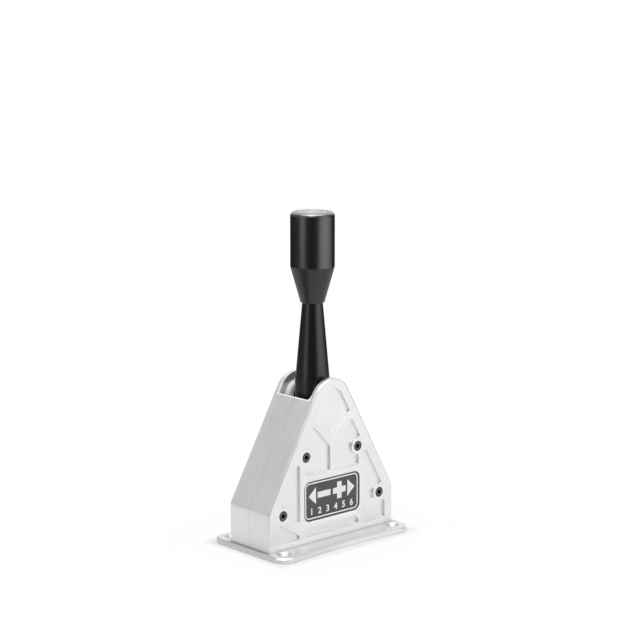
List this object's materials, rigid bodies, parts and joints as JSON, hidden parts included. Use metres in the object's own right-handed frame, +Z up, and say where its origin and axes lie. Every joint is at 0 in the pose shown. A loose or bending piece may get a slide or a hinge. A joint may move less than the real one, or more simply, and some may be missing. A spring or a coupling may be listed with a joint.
{
  "type": "sequential shifter",
  "caption": "Upright gear lever with a round knob on a triangular machined aluminium housing and bolt-down plate; it rocks to both sides and springs back.",
  "frame": {"origin": "centre of the base plate's underside", "axes": "+Z up along the lever, +X along the broad badge face, which looks towards -Y; the lever rocks towards +X and -X"},
  "size_m": [0.126, 0.078, 0.2356],
  "materials": {
    "machined_aluminium": "fine machined, clear anodised",
    "bright_aluminium": "turned",
    "black_anodised": "satin black anodised",
    "cap_metal": "satin",
    "black_oxide_steel": "black oxide",
    "steel": "ground",
    "spring_steel": "wire",
    "bronze": "turned bearing bronze",
    "badge_enamel": "satin enamel",
    "rubber": "moulded",
    "acetal": "machined",
    "circuit_board": "solder mask",
    "chip_black": "moulded",
    "magnet_plating": "nickel plated"
  },
  "bodies": {
    "housing": {"badge_plate": "badge_enamel", "base_plate": "machined_aluminium", "board_supports": "acetal", "controller_chip": "chip_black", "front_bush": "bronze", "front_housing": "machined_aluminium", "hall_sensors": "chip_black", "housing_screws": "black_oxide_steel", "left_buffer": "rubber", "left_spring": "spring_steel", "left_spring_tower": "acetal", "left_tower_cover": "bright_aluminium", "rear_bush": "bronze", "rear_housing": "machined_aluminium", "right_buffer": "rubber", "right_spring": "spring_steel", "right_spring_tower": "acetal", "right_tower_cover": "bright_aluminium", "sensor_board": "circuit_board", "usb_socket": "steel"},
    "lever": {"shift_lever": "black_anodised", "axle": "steel", "knob": "black_anodised", "knob_cap": "cap_metal", "sensor_magnet": "magnet_plating"},
    "left_plunger": {"left_plunger": "steel"},
    "right_plunger": {"right_plunger": "steel"}
  },
  "joints": [
    {"name": "lever_swing", "type": "hinge", "parent": "housing", "child": "lever", "pos_m": [0, 0, 0.102], "axis": [0, 1, 0], "range_deg": [-7, 7], "stiffness_Nm_per_rad": 20},
    {"name": "left_plunger_slide", "type": "slide", "parent": "housing", "child": "left_plunger", "axis": [1, 0, 0], "range_m": [-0.007, 0.007], "stiffness_N_per_m": 500, "deforming": ["left_spring"]},
    {"name": "right_plunger_slide", "type": "slide", "parent": "housing", "child": "right_plunger", "axis": [1, 0, 0], "range_m": [-0.007, 0.007], "stiffness_N_per_m": 500, "deforming": ["right_spring"]}
  ],
  "couplings": [
    {"joint": "left_plunger_slide", "follows": "lever_swing", "m_per_rad": -0.057},
    {"joint": "right_plunger_slide", "follows": "lever_swing", "m_per_rad": -0.057}
  ]
}
